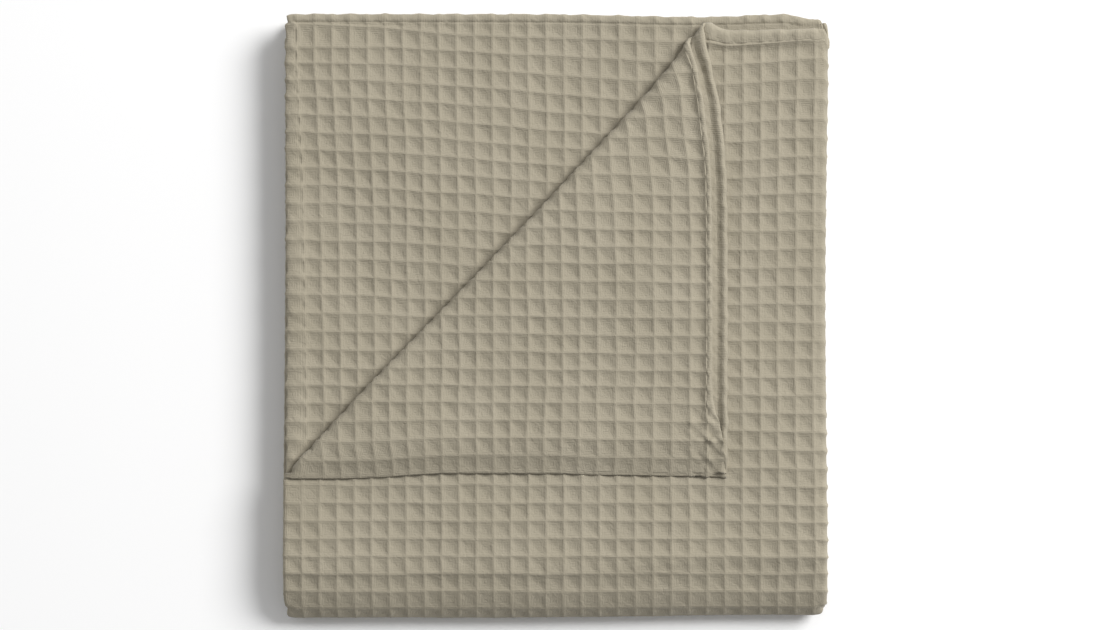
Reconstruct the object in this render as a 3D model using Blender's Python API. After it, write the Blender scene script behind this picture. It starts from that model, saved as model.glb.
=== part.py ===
"""A waffle bedspread, folded in four both ways, with one corner of its top leaf turned back.

The cloth starts as one flat, hemmed slab. Its points are carried through three folds in turn:
across the width into four plies, along the length into four leaves, and then the back left
corner of the two uppermost plies over a slanting line. Metres, +Z up, and the origin is under
the middle of the folded stack. The front of the stack is its side towards -Y.
"""

import math

import bmesh
import bpy

MM = 0.001

# The cloth as it is cut and hemmed
CUT_WIDTH = 2400 * MM
CUT_LENGTH = 2600 * MM
CLOTH = 2.4 * MM
HEM_WIDTH = 12 * MM
HEM_STEP = 1 * MM
HEM_EXTRA = 0.2 * MM
CLOTH_COLOUR = (0.376, 0.337, 0.254, 1.0)
CLOTH_ROUGHNESS = 0.92

# The stack: a ply is one thickness of cloth, and a leaf is four plies
PLY = 3.2 * MM
LEAF = 4 * PLY
EDGE_OVER = 2 * MM
TOP_RUN = 634 * MM
LOWER_RUN = 624.5 * MM
SLIP = 8.5 * MM
SLIP_SECOND = 11 * MM
WANDER = 1.8 * MM
WANDER_LENGTH = 1700 * MM

# The turned corner, measured from the corner's own tip along its two edges
TURN_REACH = 500 * MM
TURN_RADIUS = 0.8 * PLY
TURN_PULL = 31 * MM
TURN_PULL_FADE = 77 * MM
TURN_PULL_END = 466 * MM
TURN_LEAN = 6.6 * MM
TURN_SLIDE = 8.6 * MM
DRAWN_WITHIN = 80 * MM
PLIES_PART = 90 * MM
LINE_TRIES = 8

# How unevenly the stack lies
WAIST_RIGHT = 2.4 * MM
WAIST_LEFT = 1.2 * MM
BACK_DIP = 3.2 * MM
BACK_DIP_AT = 160 * MM
BACK_DIP_WIDTH = 110 * MM
SWELL = 0.8 * MM
SWELL_ACROSS = 520 * MM
SWELL_ALONG = 610 * MM
SWELL_STARTS = (1.0, 0.4)

# How finely the folds are stepped
RUN_STEPS_ACROSS = 5
RUN_STEPS_ALONG = 4
PLY_TURN_STEPS = 4
PLY_TURN_STEPS_OUTER = 6
LEAF_TURN_STEPS = 6
LEAF_TURN_STEPS_OUTER = 10
CORNER_STEPS = 4
PARTING_COLUMNS = [PLIES_PART * (i + 1) / 6 for i in range(6)]
PULL_COLUMN_STEP = 33 * MM
PULL_COLUMNS = [TURN_PULL_END - PULL_COLUMN_STEP * i for i in range(5)]
WELD = 0.02 * MM


def smooth(share):
    """Ease from 0 to 1 as share goes from 0 to 1."""
    share = min(max(share, 0.0), 1.0)
    return share * share * (3 - 2 * share)


def folded_line(start, heading, rows):
    """Lay straight runs and half turns end to end. A row is (run, turn radius, turn sense, turn steps)."""
    pieces = []
    a, b = start
    along = 0.0
    for run, radius, sense, steps in rows:
        straight = {"from": along, "long": run, "at": (a, b), "heading": heading}
        pieces.append({**straight, "radius": 0, "sense": 0, "steps": 0})
        a += heading * run
        along += run
        if radius:
            turn = {"from": along, "long": math.pi * radius, "at": (a, b), "heading": heading}
            pieces.append({**turn, "radius": radius, "sense": sense, "steps": steps})
            b += 2 * radius * sense * heading
            along += math.pi * radius
            heading = -heading
    return pieces


def point_on(pieces, along, off):
    """The point at a length along a folded line, off to its left."""
    piece = pieces[0]
    for candidate in pieces:
        if along >= candidate["from"]:
            piece = candidate
    a, b = piece["at"]
    heading, radius, sense = piece["heading"], piece["radius"], piece["sense"]
    past = along - piece["from"]
    if not radius:
        return a + heading * past, b + heading * off
    angle = past / radius
    reach = radius - sense * off
    return (
        a + heading * reach * math.sin(angle),
        b + heading * (sense * radius - (sense * radius - off) * math.cos(angle)),
    )


def stations(pieces, run_steps):
    """The lengths along a folded line at which the mesh has a row of points."""
    found = []
    for piece in pieces:
        steps = piece["steps"] or run_steps
        found += [piece["from"] + piece["long"] * i / steps for i in range(steps)]
    end = pieces[-1]["from"] + pieces[-1]["long"]
    hems = (HEM_WIDTH, HEM_WIDTH + HEM_STEP)
    return sorted(found + [end] + list(hems) + [end - hem for hem in hems])


def width_fold():
    """Ply 3 from its free left hem, ply 2 back over it, ply 1 on top, and ply 4 under them all."""
    inner, outer = 0.5 * PLY, 1.5 * PLY
    run = (CUT_WIDTH - math.pi * (2 * inner + outer)) / 4
    rows = (
        (run + EDGE_OVER, inner, 1, PLY_TURN_STEPS),
        (run, inner, -1, PLY_TURN_STEPS),
        (run, outer, -1, PLY_TURN_STEPS_OUTER),
        (run - EDGE_OVER, 0, 0, 0),
    )
    return folded_line((-(run + EDGE_OVER) / 2, -inner), 1, rows)


def length_fold():
    """The top leaf from its back hem, round the front to the lowest leaf, and back in between."""
    inner, outer = 0.5 * LEAF, 1.5 * LEAF
    last_run = CUT_LENGTH - TOP_RUN - 2 * LOWER_RUN - math.pi * (2 * inner + outer)
    rows = (
        (TOP_RUN, outer, 1, LEAF_TURN_STEPS_OUTER),
        (LOWER_RUN, inner, 1, LEAF_TURN_STEPS),
        (LOWER_RUN, inner, -1, LEAF_TURN_STEPS),
        (last_run, 0, 0, 0),
    )
    return folded_line((TOP_RUN / 2, 3.5 * LEAF), -1, rows)


ACROSS = width_fold()
ALONG = length_fold()
PLY_TWO, LEFT_TURN, PLY_ONE = ACROSS[2], ACROSS[3], ACROSS[4]
TURN_MIDDLE = LEFT_TURN["from"] + LEFT_TURN["long"] / 2
TIP_X = LEFT_TURN["at"][0] - LEFT_TURN["radius"]
TIP_Y = ALONG[0]["at"][0] - SLIP
TIP_TOP = 3.5 * LEAF + 1.5 * PLY
UNDERSIDE = 0.5 * LEAF - 1.5 * PLY - CLOTH / 2


def full_slip(ply_height, from_tip):
    """How short of the others the two upper plies end at the back, the second more so."""
    upper = smooth(ply_height / PLY + 0.5)
    below_first = upper * smooth(1.5 - ply_height / PLY)
    return SLIP * upper + SLIP_SECOND * below_first * smooth(from_tip / PLIES_PART)


def slip(ply_height, along, from_tip):
    """The same, fading out towards the front of the top leaf."""
    return full_slip(ply_height, from_tip) * max(0.0, 1 - along / TOP_RUN)


def wander(along):
    """The lower leaves don't lie quite under the top one."""
    return WANDER * math.sin(max(0.0, along - TOP_RUN) * math.tau / WANDER_LENGTH)


def pull(from_tip):
    """How far the corner's fold line is drawn back from a true slant, growing towards the hem."""
    near = math.exp(min(0.0, from_tip - TURN_PULL_END) / TURN_PULL_FADE)
    return TURN_PULL * near + TURN_LEAN * from_tip / TURN_REACH


def past_line(from_tip, from_back):
    """How far a point lies beyond the corner's fold line, and how far from the tip the line is there."""
    past = 0.0
    for _ in range(LINE_TRIES):
        beside = from_tip + past / math.sqrt(2)
        past = (TURN_REACH - pull(beside) - from_tip - from_back) / math.sqrt(2)
    return past, beside


def turn_corner(x, y, z, ply_height):
    """Carry a point of the two upper plies over the corner's fold line, if it lies beyond it."""
    from_tip = x - TIP_X
    past, beside = past_line(from_tip, TIP_Y - y)
    if past <= 0:
        return x, y, z
    axis = TIP_TOP + TURN_RADIUS
    radius = axis - z
    own = TURN_RADIUS + (1.5 * PLY - ply_height) * smooth(from_tip / PLIES_PART)
    if past < math.pi * own:
        angle = past / own
        moved = past - radius * math.sin(angle)
        return x + moved / math.sqrt(2), y - moved / math.sqrt(2), axis - radius * math.cos(angle)
    flat = past - math.pi * own
    moved = (past + flat) / math.sqrt(2)
    slide = TURN_SLIDE * flat / TURN_REACH
    drawn = (pull(beside) - pull(from_tip)) * smooth(flat / DRAWN_WITHIN)
    return x + moved - slide + drawn, y - moved - slide - drawn, axis + radius


def settle(x, y, z):
    """Draw the sides in, dip the back edge and let the top swell a little, with the floor flat."""
    half_width, half_length, height = PLY_ONE["long"] / 2, TOP_RUN / 2, 4 * LEAF
    waist = math.cos(min(1.0, abs(y) / half_length) * math.pi / 2) ** 2
    right, left = max(0.0, x / half_width), max(0.0, -x / half_width)
    dip = math.exp(-(((x - BACK_DIP_AT) / BACK_DIP_WIDTH) ** 2)) * smooth(y / half_length)
    across = math.sin(x * math.tau / SWELL_ACROSS + SWELL_STARTS[0])
    swell = across * math.cos(y * math.tau / SWELL_ALONG + SWELL_STARTS[1])
    above = (z - UNDERSIDE) / height
    return (
        x + waist * (WAIST_LEFT * left - WAIST_RIGHT * right),
        y - BACK_DIP * dip,
        z + SWELL * swell * above,
    )


def lay(u, v, h):
    """Where a point of the flat cloth lies: u across it, v along it and h above its middle."""
    x, height = point_on(ACROSS, u, h)
    ply_height = point_on(ACROSS, u, 0.0)[1]
    y, z = point_on(ALONG, v, -height)
    x += wander(v)
    y -= slip(ply_height, v, x - TIP_X)
    if v < TOP_RUN and PLY_TWO["from"] < u < PLY_ONE["from"] + PLY_ONE["long"]:
        x, y, z = turn_corner(x, y, z, ply_height)
    return settle(x, y, z)


def flat_grid(mesh):
    """A flat grid of the whole cloth, with its rows closer where it folds."""
    across, along = stations(ACROSS, RUN_STEPS_ACROSS), stations(ALONG, RUN_STEPS_ALONG)
    rows = [[mesh.verts.new((u, v, 0.0)) for v in along] for u in across]
    for left, right in zip(rows, rows[1:]):
        for i in range(len(left) - 1):
            mesh.faces.new((left[i], right[i], right[i + 1], left[i + 1]))


def cut_faces(mesh, side, point, direction):
    """Cut one upper ply of the top leaf along a line. Side is 1 for the first and -1 for the second."""
    far_edge = PLY_ONE["from"] + PLY_ONE["long"] if side > 0 else PLY_TWO["from"]
    low, high = sorted((TURN_MIDDLE, far_edge))
    chosen = []
    for face in mesh.faces:
        middle = face.calc_center_median()
        if low < middle.x < high and middle.y < TOP_RUN:
            chosen += [face, *face.edges, *face.verts]
    chosen = list(dict.fromkeys(chosen))
    bmesh.ops.bisect_plane(mesh, geom=chosen, dist=WELD, plane_co=point, plane_no=direction)


def slant(vertex, sign):
    """Shear the flat cloth so that the corner's fold lines run straight, or shear it back."""
    x, ply_height = point_on(ACROSS, vertex.co.x, 0.0)
    from_tip = x - TIP_X
    short = full_slip(ply_height, from_tip)
    if sign > 0:
        vertex.co.y = vertex.co.y * (1 - short / TOP_RUN) + short - SLIP + pull(from_tip)
    else:
        vertex.co.y = (vertex.co.y - pull(from_tip) + SLIP - short) / (1 - short / TOP_RUN)


def cut_corner(mesh):
    """Cut rows and columns into the two upper plies, where the corner bends over."""
    flat_start = LEFT_TURN["long"] / 2 - LEFT_TURN["radius"]
    step = math.sqrt(2) * math.pi * TURN_RADIUS / CORNER_STEPS
    plies = ((1, TURN_RADIUS, PULL_COLUMNS), (-1, TURN_RADIUS + PLY, PULL_COLUMNS + PARTING_COLUMNS))
    for side, _, columns in plies:
        start = TURN_MIDDLE + side * flat_start
        for column in columns:
            cut_faces(mesh, side, (start + side * column, 0.0, 0.0), (1.0, 0.0, 0.0))
    for vertex in mesh.verts:
        slant(vertex, 1)
    for side, radius, _ in plies:
        start = TURN_MIDDLE + side * flat_start
        for i in range(round(CORNER_STEPS * radius / TURN_RADIUS) + 1):
            cut_faces(mesh, side, (start, TURN_REACH - step * i, 0.0), (side, 1.0, 0.0))
    for vertex in mesh.verts:
        slant(vertex, -1)


def half_thickness(u, v):
    """Half the cloth's thickness, a little more in the hem that runs all round it."""
    to_edge = min(u, CUT_WIDTH - u, v, CUT_LENGTH - v)
    return CLOTH / 2 + (HEM_EXTRA if to_edge < HEM_WIDTH + HEM_STEP / 2 else 0.0)


def give_thickness(mesh):
    """Turn the flat sheet into a closed slab."""
    lower = list(mesh.verts)
    made = bmesh.ops.extrude_face_region(mesh, geom=list(mesh.faces), use_keep_orig=True)
    for item in made["geom"]:
        if isinstance(item, bmesh.types.BMVert):
            item.co.z = half_thickness(item.co.x, item.co.y)
    for vertex in lower:
        vertex.co.z = -half_thickness(vertex.co.x, vertex.co.y)
    bmesh.ops.recalc_face_normals(mesh, faces=list(mesh.faces))


def centre_on_origin(mesh):
    """Stand the stack on the origin, by the middle of its underside."""
    lows = [min(vertex.co[axis] for vertex in mesh.verts) for axis in range(3)]
    highs = [max(vertex.co[axis] for vertex in mesh.verts) for axis in range(3)]
    for vertex in mesh.verts:
        vertex.co.x -= (lows[0] + highs[0]) / 2
        vertex.co.y -= (lows[1] + highs[1]) / 2
        vertex.co.z -= lows[2]


def cloth_material():
    """Undyed-looking cotton, matt all over."""
    material = bpy.data.materials.new("waffle_cotton")
    material.use_nodes = True
    shader = material.node_tree.nodes["Principled BSDF"]
    shader.inputs["Base Color"].default_value = CLOTH_COLOUR
    shader.inputs["Roughness"].default_value = CLOTH_ROUGHNESS
    shader.inputs["Metallic"].default_value = 0.0
    return material


def make_bedspread():
    """The one panel of cloth, hemmed all round and folded."""
    mesh = bmesh.new()
    flat_grid(mesh)
    cut_corner(mesh)
    bmesh.ops.triangulate(mesh, faces=list(mesh.faces))
    give_thickness(mesh)
    for vertex in mesh.verts:
        vertex.co = lay(*vertex.co)
    # Laying the cloth with its length towards the front mirrors it, so its faces are turned round.
    bmesh.ops.reverse_faces(mesh, faces=list(mesh.faces))
    centre_on_origin(mesh)
    data = bpy.data.meshes.new("bedspread")
    mesh.to_mesh(data)
    mesh.free()
    data.materials.append(cloth_material())
    bedspread = bpy.data.objects.new("bedspread", data)
    bpy.context.collection.objects.link(bedspread)
    return bedspread


def main():
    """Clear the scene and make the part."""
    for thing in list(bpy.data.objects):
        bpy.data.objects.remove(thing)
    make_bedspread()


if __name__ == "__main__":
    main()
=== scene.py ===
"""Dresses the folded waffle bedspread: one hemmed cloth with its waffle cells, a floor, light and camera.

The cloth is a closed sheet, built flat as a lattice whose lines follow the waffle's ridges, its hems
and its folds. Each point gets its height off the sheet's middle, and is then carried through the same
folds as the source part: four plies across, four leaves along, and the turned corner. Ply 1 is the
uppermost of each leaf, and plies 2, 3 and 4 lie under it. On the flat cloth u runs across and v along.
"""

import math

import bpy
import numpy as np
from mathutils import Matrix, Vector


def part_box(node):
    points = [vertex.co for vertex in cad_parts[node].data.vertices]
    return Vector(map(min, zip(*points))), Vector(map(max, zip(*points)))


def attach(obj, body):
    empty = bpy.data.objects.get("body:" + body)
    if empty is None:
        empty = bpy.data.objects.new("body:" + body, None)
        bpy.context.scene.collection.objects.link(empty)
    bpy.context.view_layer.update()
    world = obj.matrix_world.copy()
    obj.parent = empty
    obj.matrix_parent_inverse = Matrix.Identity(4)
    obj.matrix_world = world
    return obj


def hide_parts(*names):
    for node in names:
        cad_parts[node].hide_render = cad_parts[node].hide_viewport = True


bl_info = {
    "name": "Folded Waffle Bedspread",
    "version": (1, 0, 0),
    "blender": (4, 5, 0),
    "location": "View3D > Sidebar > Bedspread",
    "description": "Builds a folded waffle-weave bedspread with a turned corner, and a plain studio for it",
    "category": "Add Mesh",
}

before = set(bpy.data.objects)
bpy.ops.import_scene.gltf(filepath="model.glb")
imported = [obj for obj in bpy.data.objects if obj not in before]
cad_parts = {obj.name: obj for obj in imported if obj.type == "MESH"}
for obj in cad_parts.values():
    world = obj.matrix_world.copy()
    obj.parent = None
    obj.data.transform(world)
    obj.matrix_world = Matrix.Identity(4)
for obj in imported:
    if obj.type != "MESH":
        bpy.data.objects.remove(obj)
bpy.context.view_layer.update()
CAD_LOW, CAD_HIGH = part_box("bedspread")

MM = 0.001

# The folds, with the same sizes as the solid
CUT_WIDTH = 2400 * MM
CUT_LENGTH = 2600 * MM
CLOTH = 2.4 * MM
PLY = 3.2 * MM
LEAF = 4 * PLY
EDGE_OVER = 2 * MM
TOP_RUN = 634 * MM
LOWER_RUN = 624.5 * MM
SLIP = 8.5 * MM
SLIP_SECOND = 11 * MM
WANDER = 1.8 * MM
WANDER_LENGTH = 1700 * MM
TURN_REACH = 500 * MM
TURN_RADIUS = 0.8 * PLY
TURN_PULL = 31 * MM
TURN_PULL_FADE = 77 * MM
TURN_PULL_END = 466 * MM
TURN_LEAN = 6.6 * MM
TURN_SLIDE = 8.6 * MM
DRAWN_WITHIN = 80 * MM
PLIES_PART = 90 * MM
LINE_TRIES = 8
WAIST_RIGHT = 2.4 * MM
WAIST_LEFT = 1.2 * MM
BACK_DIP = 3.2 * MM
BACK_DIP_AT = 160 * MM
BACK_DIP_WIDTH = 110 * MM
SWELL = 0.8 * MM
SWELL_ACROSS = 520 * MM
SWELL_ALONG = 610 * MM
SWELL_STARTS = (1.0, 0.4)
OUTER_TURN_STEPS = 8
INNER_TURN_STEPS = 5
LEAF_TURN_STEPS = 8
MEASURED_ACROSS, MEASURED_ALONG = 400, 1600

# Below, places and lengths without the factor MM are in millimetres. A pair is (start, length) of an
# easing or (middle, width) of a bump.

# Where the ridges run: cell number, and place. Across, they count from the left fold. Along, they are
# closer where the outermost ply goes round a fold, and so is stretched.
RIDGES_ACROSS = (
    (-60, 13), (-54, 130.4), (-46, 289.4), (-40, 410.7), (-31, 592.5), (-22, 783), (-19, 845), (-16, 901.5),
    (-12, 974.8), (-6, 1088.5), (0, 1197), (16, 1506.4), (30, 1784.9), (61, 2387),
)
RIDGES_ALONG = ((0, 16), (31, 636), (35, 700), (66, 1318), (68, 1341), (99, 1962), (100, 1982), (130, 2587))
CELL = 19.8

# How far the weave has slid within each ply of the top leaf. Each table's first row holds the distances
# from the left fold, and each other row the distance from the back hem, then the slides towards the
# front there.
SLIDE_PLY_THREE = (
    (18, 107, 195, 284, 395, 480, 530),
    (0, -6, -6, -6, -6, -6, -6, -7.3),
    (12.6, -8.5, -8.5, -8.5, -8.5, -8.5, -8.5, -9),
    (16, -11, -7, 2, 4.5, 6, 6, 6),
    (36, -4.8, -4.8, -0.4, 3.3, 8, 8, 8),
    (56, -7.1, -6.5, -1.6, 4.6, 10.1, 10, 10),
    (76, -8.8, -7.7, -1.6, 5.6, 12.3, 12, 12),
    (116, -11, -7.3, -1.7, 6, 13, 13, 13),
    (156, -11.8, -8, -2.4, 4.5, 12, 12, 12),
    (236, -12, -8.8, -3.2, 3, 8, 8, 8),
    (336, -10.2, -8.5, -3.5, 1, 4, 4, 4),
    (476, -9.6, -8, -4, 0, 2, 2, 2),
    (634, 0, 0, 0, 0, 0, 0, 0),
)
SLIDE_PLY_TWO = (
    (0, 30, 60, 90, 600),
    (0, -1, -1, 0, 1.5, 1.5),
    (12.6, 7, 5, -1.5, -5, -5.3),
    (16, 6, 3, -3.6, -7.4, -7.7),
    (36, 6, 2, -5, -9.1, -9.5),
    (56, 7.5, 3.1, -4.1, -8.6, -9.1),
    (156, 14, 7.5, -0.9, -6.5, -8),
    (440, 0, 0, -4, -7, -7),
    (634, 0, 0, 0, 0, 0),
)
SLIDE_PLY_ONE = (
    (494, 572),
    (0, 1.5, 1.5), (12.6, 4, 1.5), (16, 3.2, -1), (36, 3.9, -0.5), (56, 6.4, 2), (76, 8.8, 4.4), (96, 11, 7),
    (136, 13, 9), (300, 16, 16), (516, 19, 21.5), (616, 18.5, 19), (636, 12.5, 12.5), (652, 9, 9),
    (760, 6, 6), (1300, 0, 0),
)
# The columns of ply 3 lean away from its left hem: distance from the back hem, and slide to the right.
# The lean eases off away from that hem.
LEAN_PLY_THREE = ((0, 0), (60, 0), (180, 5.5), (320, 7.5), (430, 9.5), (634, 9.5))
LEAN_EASES = 0.8
LEAN_OVER = (60, 170)
# Over which parts of the cloth each table holds, as (start, length) across. The left fold's end of the
# tables for plies 1 and 2 moves over as v passes LEFT_FOLD_OVER.
PLY_THREE_ENDS = (550, 45)
PLY_TWO_STARTS = (620, 80)
PLY_ONE_ENDS = (1830, 300)
LEFT_FOLD_MOVES = 110 * MM
LEFT_FOLD_OVER = (440, 80)
LEFT_FOLD_BLEND = 100

# Waves: (height, length across, length along, start)
WAVE_SHIFT = 1.7
WEAVE_STRAY_ALONG = ((0.6, 210, 117, 0.3), (0.5, 83, 190, 1.1))
WEAVE_STRAY_ACROSS = ((0.6, 130, 290, 2.3), (0.5, 270, 87, 0.8))
FACE_WAVES = ((0.14, 173, 131, 0.4), (0.12, 57, 71, 2.2))
HEM_PUCKERS = ((0.5, 17.1, 23.3, 0.4), (0.35, 9.1, 11.3, 1.9))
HEM_RAGGED = ((0.5, 37, 51, 0.9), (0.4, 11.7, 14.7, 2.7))
ROLLED_PUCKERS = ((0.5, 19.3, 23, 0.7), (0.3, 10.7, 11.3, 1.4))
TIP_CRUMPLES = ((2.1, 21.3, 18.7, 0.5), (1.3, 11.9, 13.3, 2.1))
STACK_WAVES = ((1.3, 430, 310, 0.6), (0.9, 190, 270, 2.0))

# Lines within one cell: a narrow crest on each ridge, and four steps down and up the pit. There are
# fewer along the lower leaves, which show only at their folded sides.
CELL_SHARES = (0, 0.075, 0.275, 0.5, 0.725, 0.925)
LOWER_SHARES = (0, 0.3, 0.7)
LAST_TOP_CELL = 36
HEM_LINES = (0.6, 1.8, 4, 6.5, 9, 10.6, 11.7, 12.6)
PAST_HEM_LINES = (13.6, 14.3, 15, 15.5)
HEM_END = 13 * MM
COARSE_EVERY = 3
# The kinds of line, the most needed first, and how far each keeps from the lines before it
EDGE_LINE, TURN_LINE, RIDGE_LINE, HEM_LINE, PIT_LINE = range(5)
LEAST_ROOM = (0.01, 0.3, 0.9, 0.3, 0.6)

# Where the relief shows, and where the mesh is fine
SHOWS_OVER = 7
PLY_TWO_LEAD = 3
BACK_STRIP = (3, 4)
FRONT_TURN_FADE = 14
LEAST_SHOWN = 0.001
BEND_FROM = -4 * MM
BEND_TO_PLY_ONE = 16 * MM
BEND_TO_PLY_TWO = 24 * MM
DETAIL_MARGIN = 22 * MM
BLOCK_SHARES = np.linspace(0.02, 0.98, 6)

# The cells: how they differ, and the shape of their walls, crests and crossings
CELL_SEED = 7
CELL_TABLE = 151
PIT_STRAYS = 0.11
DEPTH_VARIES = 0.18
HOLLOW_LESS, HOLLOW_MORE = -0.2, 0.15
LONG_WALL_AT = 0.7
CREST = 0.12
CREST_FROM = 0.78
KNOT = 0.08
KNOT_FROM = 0.75
LOWEST_FACE = -1.0 * MM

# The hems: distance from the edge, and height of the face
HEM_PROFILE = (
    (0, 0.4), (0.6, 1.4), (1.8, 2.3), (4, 2.9), (6.5, 3.1), (9, 3.1), (10.6, 2.9), (11.7, 2.6), (12.6, 2.8),
)
HEM_PRESSED = 1.4 * MM
HEM_ROUNDING = 3
SIDE_HEM_RIDGE = 1.9 * MM
END_HEM_RIDGE = 1.3 * MM
HEM_RIDGE_FROM = 0.3
HEM_RIDGE_SHIFT = 0.45
STITCH_GROOVE = 1.2 * MM
STITCH_LINE = (11.7, 1.3)
SCALLOP = 1.6 * MM
END_SCALLOP = 0.35
HEM_TO_CELLS = (12.2, 1.6)
# The rolled hem of ply 1 beside the turned corner: distance from its edge, and height of the reverse
ROLLED_HEM = (
    (0, 0.8), (0.6, 3.2), (1.8, 5.5), (3.2, 6), (4.6, 5.2), (6.2, 3), (8, 0.4), (10, -0.4), (16, -0.2),
)
ROLLED_FADE = (14, 6)
ROLLED_PAST_LINE = 25

# The back hems of plies 1 and 2 stand proud, with a deep crease in front of them
PROUD = 1.1 * MM
PROUD_PLY_ONE = 2.4
PROUD_RISE, PROUD_END, PROUD_FALL_ONE, PROUD_FALL_TWO = 3.2, 15, 14, 5
PROUD_SLOPE, PROUD_SLOPE_FROM, PROUD_SLOPE_LENGTH = 0.35, 3 * MM, 10 * MM
CREASE = 2.8 * MM
CREASE_PLY_TWO = 0.3
CREASE_AT_ONE, CREASE_AT_TWO, CREASE_WIDTH = 24, 15, 7
CREASE_RISE = (15, 6)
PLY_ONE_COMES_IN, PLY_ONE_GOES_OUT = 30, 20
# Ply 3 rolls down from its back hem to go in under ply 1, right of the turned corner
ROLL_DOWN = 3.6 * MM
ROLL_DOWN_ACROSS = (480, 16)
ROLL_DOWN_FALL = (4, 12)
ROLL_DOWN_END = (60, 20)
# The turned corner's own tip, where the hem is lost among wrinkles
TIP_ZONE = (-80, 35)
TIP_CRUMPLED = (24, 26)
TIP_HEM_LOST = 0.85
# A patch that is drawn smooth, in front of the fold line's left end
PATCH_ACROSS, PATCH_ALONG = (20, 17), (527, 14)
PATCH_CALM, PATCH_HEIGHT = 0.8, 1.6 * MM
# The slanting bend, and the fold of the turned corner's lower edge, where the relief is pressed flatter
BEND_IN, BEND_OUT = (-4, 8), (12, 10)
BEND_CALM, BEND_HEIGHT = 0.45, 1.5 * MM
LOW_FOLD = (1.5, 4.5)
LOW_FOLD_CALM, LOW_FOLD_HEIGHT = 0.6, 2.2 * MM
# The right side towards the back, where the cloth is drawn tight
TIGHT_SIDE = (-8, 8)
TIGHT_TO, TIGHT_FADE = 460 * MM, 60
TIGHT_CALM, TIGHT_HEIGHT = 0.55, 0.7 * MM

# The turned corner's soft shape. Out: distance from the back, and how far its right edge bows out.
# Drop: distance from the left, and how far its lower edge is moved to the front.
FLAP_LIFT = 3.6 * MM
LIFT_FROM_FOLD, LIFT_FROM_LINE, LIFT_FROM_HEM = 16, 24, 22
FLAP_OUT = (
    (0, 0), (20, 6), (45, 8.5), (80, 9.5), (120, 7.5), (170, 7.5), (240, 6.5), (340, 5.5), (440, 4), (500, 0),
)
FLAP_OUT_OVER, OUT_FROM_LINE = (-160, 110), 30
FLAP_DROP = ((0, 5), (60, 4.4), (107, 1.7), (173, -3.3), (306, -4.6), (350, -3.9), (500, -3.3))
FLAP_DROP_OVER = 130
FLAP_ROUND = 2.9 * MM
FLAP_ROUND_REACH, FLAP_ROUND_POWER = 17 * MM, 1.5
FLAP_ROUND_UNDER, FLAP_ROUND_TURNS = 0.85, (-2.5, 5)
FLAP_PRESS, FLAP_PRESS_OVER = 0.3, (4, 26)
# The fold line's back end curls up and back in a soft loop of hem, with a shallow well in front of it
CURL_ACROSS, CURL_ALONG = (163, 20), (303, 20)
CURL_OUT = (5 * MM, 9 * MM, 2.5 * MM)
WELL_ACROSS, WELL_ALONG = (160, 26), (280, 26)
WELL = 2.6 * MM
WELL_PAST_HEM = (9, 5)

# The stack's soft shape: the front sinks, more so towards the right, and bulges at half its height
FRONT_SINK = 15 * MM
FRONT_REACH = 56 * MM
FRONT_PAST_RUN = 30 * MM
FRONT_EARLIER_RIGHT, FRONT_EARLIER_OVER = 12 * MM, 220
FRONT_SINK_MOST = 1.3
FRONT_SOFT_START, FRONT_SOFT_SHARE = 4 * MM, 0.2
BULGE, BULGE_RIGHT = 5.8 * MM, 2.8 * MM
BULGE_CHANGES = (-50, 300)
BULGE_START = (-10, 14)
CORNER_ROUND = 16 * MM
CORNER_POWER = 2.6
TINY = 1e-9

# The cotton. The real yarns are 0.5 mm apart. They are drawn 1.8 mm apart, as coarse as it takes for
# them to show. A noise is (scale per metre, detail, twist): puckers about 5 mm across, a haze of fibre
# ends under a millimetre, and dye that took a little unevenly, over about 60 mm. A bump is (strength,
# depth).
YARNS_PER_CELL = 11.0
PUCKERS, HAZE, DYE = (190.0, 3.0, 0.6), (1300.0, 2.0, 0.0), (16.0, 4.0, 0.0)
PUCKER_BUMP, YARN_BUMP, HAZE_BUMP = (0.6, 1.5 * MM), (0.5, 0.15 * MM), (0.5, 0.3 * MM)
FLECK = 0.16
SHEEN, SHEEN_ROUGHNESS = 0.15, 0.5
SPECULAR = 0.2

# The studio, in metres. The even light is weaker from the front, as in a room that is lit from the back.
FLOOR_SIZE = 20.0
FLOOR_HEX, FLOOR_ROUGHNESS = "#FDFDFD", 0.95
KEY_SIZE = 4.2
KEY_PLACE = (5.05, 3.15, 4.9)
FRONT_DIM = 0.72
PHOTO_WIDTH_PIXELS, MM_PER_PIXEL = 1118, 1.1075
FRAME_WIDTH = PHOTO_WIDTH_PIXELS * MM_PER_PIXEL * MM
VIEW_MIDDLE = (3.9 * MM, 0.0, 50 * MM)
SENSOR = 36.0


def smooth(share):
    """Ease from 0 to 1 as share goes from 0 to 1."""
    share = np.clip(share, 0, 1)
    return share * share * (3 - 2 * share)


def ramp(place, start, length):
    """Ease from 0 to 1 over a length from a start, both in millimetres."""
    return smooth((place - start * MM) / (length * MM))


def bell(place, middle, width):
    """A soft bump, 1 at its middle and fading over its width, both in millimetres."""
    return np.exp(-(((place - middle * MM) / (width * MM)) ** 2))


def curve(table, place):
    """Values between the rows of a table of places and values."""
    places, values = (np.array(part) * MM for part in zip(*table))
    return np.interp(place, places, values)


def blend(relief, height, share):
    """Bring a relief towards a height by a share."""
    return relief * (1 - share) + height * share


def waves(u, v, rows):
    """A soft unevenness made of a few waves."""
    total = np.zeros_like(u)
    for height, across, along, start in rows:
        over = np.sin(u / (across * MM) * math.tau + WAVE_SHIFT * start)
        total += height * MM * over * np.sin(v / (along * MM) * math.tau + start)
    return total


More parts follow.
